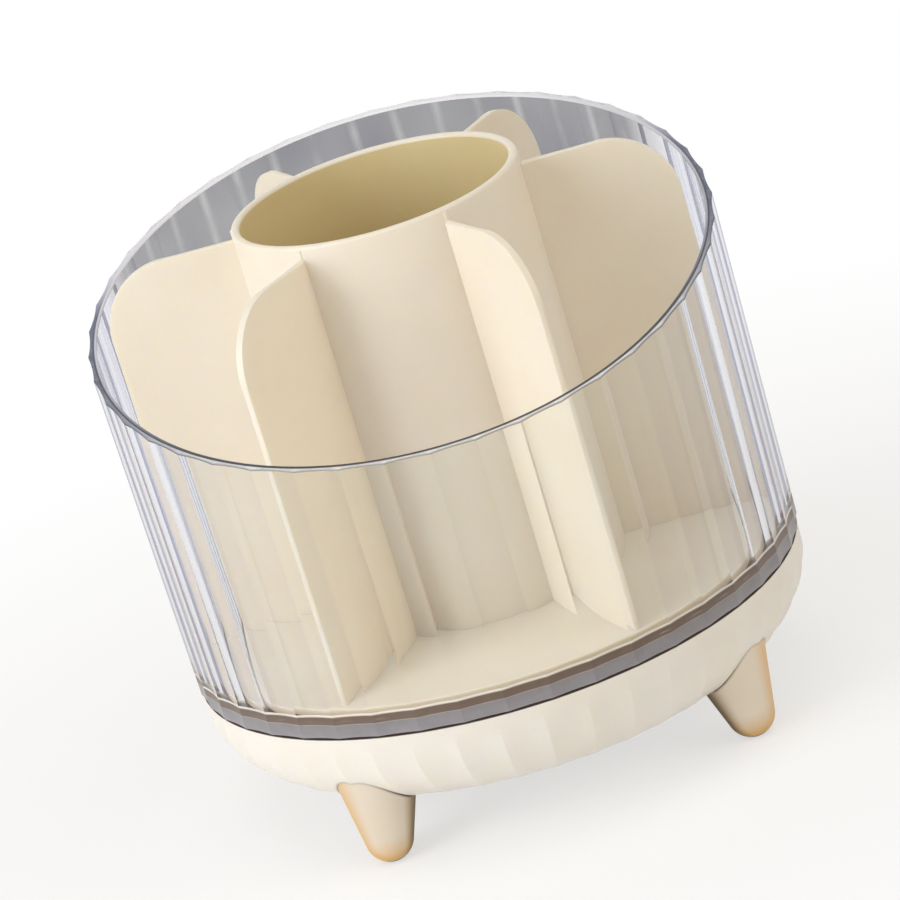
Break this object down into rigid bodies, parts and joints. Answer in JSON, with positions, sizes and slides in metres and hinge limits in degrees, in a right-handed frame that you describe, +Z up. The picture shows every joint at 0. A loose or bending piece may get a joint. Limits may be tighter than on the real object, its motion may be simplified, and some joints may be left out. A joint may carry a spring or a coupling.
{
  "type": "rotating makeup brush holder",
  "caption": "Clear fluted cup with a slanted rim and a finned divider insert, turning on a bowl-shaped base with splayed feet.",
  "frame": {"origin": "on the ground, on the axis of rotation", "axes": "+Z up along the axis of rotation; -Y towards the low side of the cup's rim; +X to the right"},
  "size_m": [0.1466, 0.1467, 0.1384],
  "materials": {
    "cream_plastic": "smooth satin moulded plastic, warm cream",
    "foot_plastic": "smooth satin moulded plastic, a warmer cream than the base",
    "clear_plastic": "clear moulded plastic, polished",
    "race_plastic": "white acetal, low friction",
    "cage_plastic": "dark acetal, low friction",
    "ball_steel": "polished steel balls",
    "zinc_steel": "zinc-plated steel",
    "bush_brass": "turned brass"
  },
  "bodies": {
    "base": {"base_shell": "cream_plastic", "foot_front_left": "foot_plastic", "foot_front_right": "foot_plastic", "foot_rear_right": "foot_plastic", "foot_rear_left": "foot_plastic", "foot_screws": "zinc_steel", "lower_race": "race_plastic", "lower_race_screws": "zinc_steel", "pivot_bush": "bush_brass"},
    "cage": {"ball_cage": "cage_plastic", "bearing_balls": "ball_steel"},
    "turntable": {"turntable_plate": "cream_plastic", "upper_race": "race_plastic", "upper_race_screws": "zinc_steel", "pivot_bolt": "zinc_steel", "pivot_washer": "zinc_steel", "lock_nut": "zinc_steel", "clear_cup": "clear_plastic", "cup_screws": "zinc_steel"},
    "insert": {"divider_insert": "cream_plastic"}
  },
  "joints": [
    {"name": "cup_spin", "type": "hinge", "parent": "base", "child": "turntable", "pos_m": [0, 0, 0.0352], "axis": [0, 0, 1], "continuous": true},
    {"name": "cage_spin", "type": "hinge", "parent": "base", "child": "cage", "pos_m": [0, 0, 0.0241], "axis": [0, 0, 1], "continuous": true},
    {"name": "insert_lift", "type": "slide", "parent": "turntable", "child": "insert", "axis": [0, 0, 1], "range_m": [0, 0.105]}
  ],
  "couplings": [
    {"joint": "cage_spin", "follows": "cup_spin", "ratio": 0.5}
  ]
}
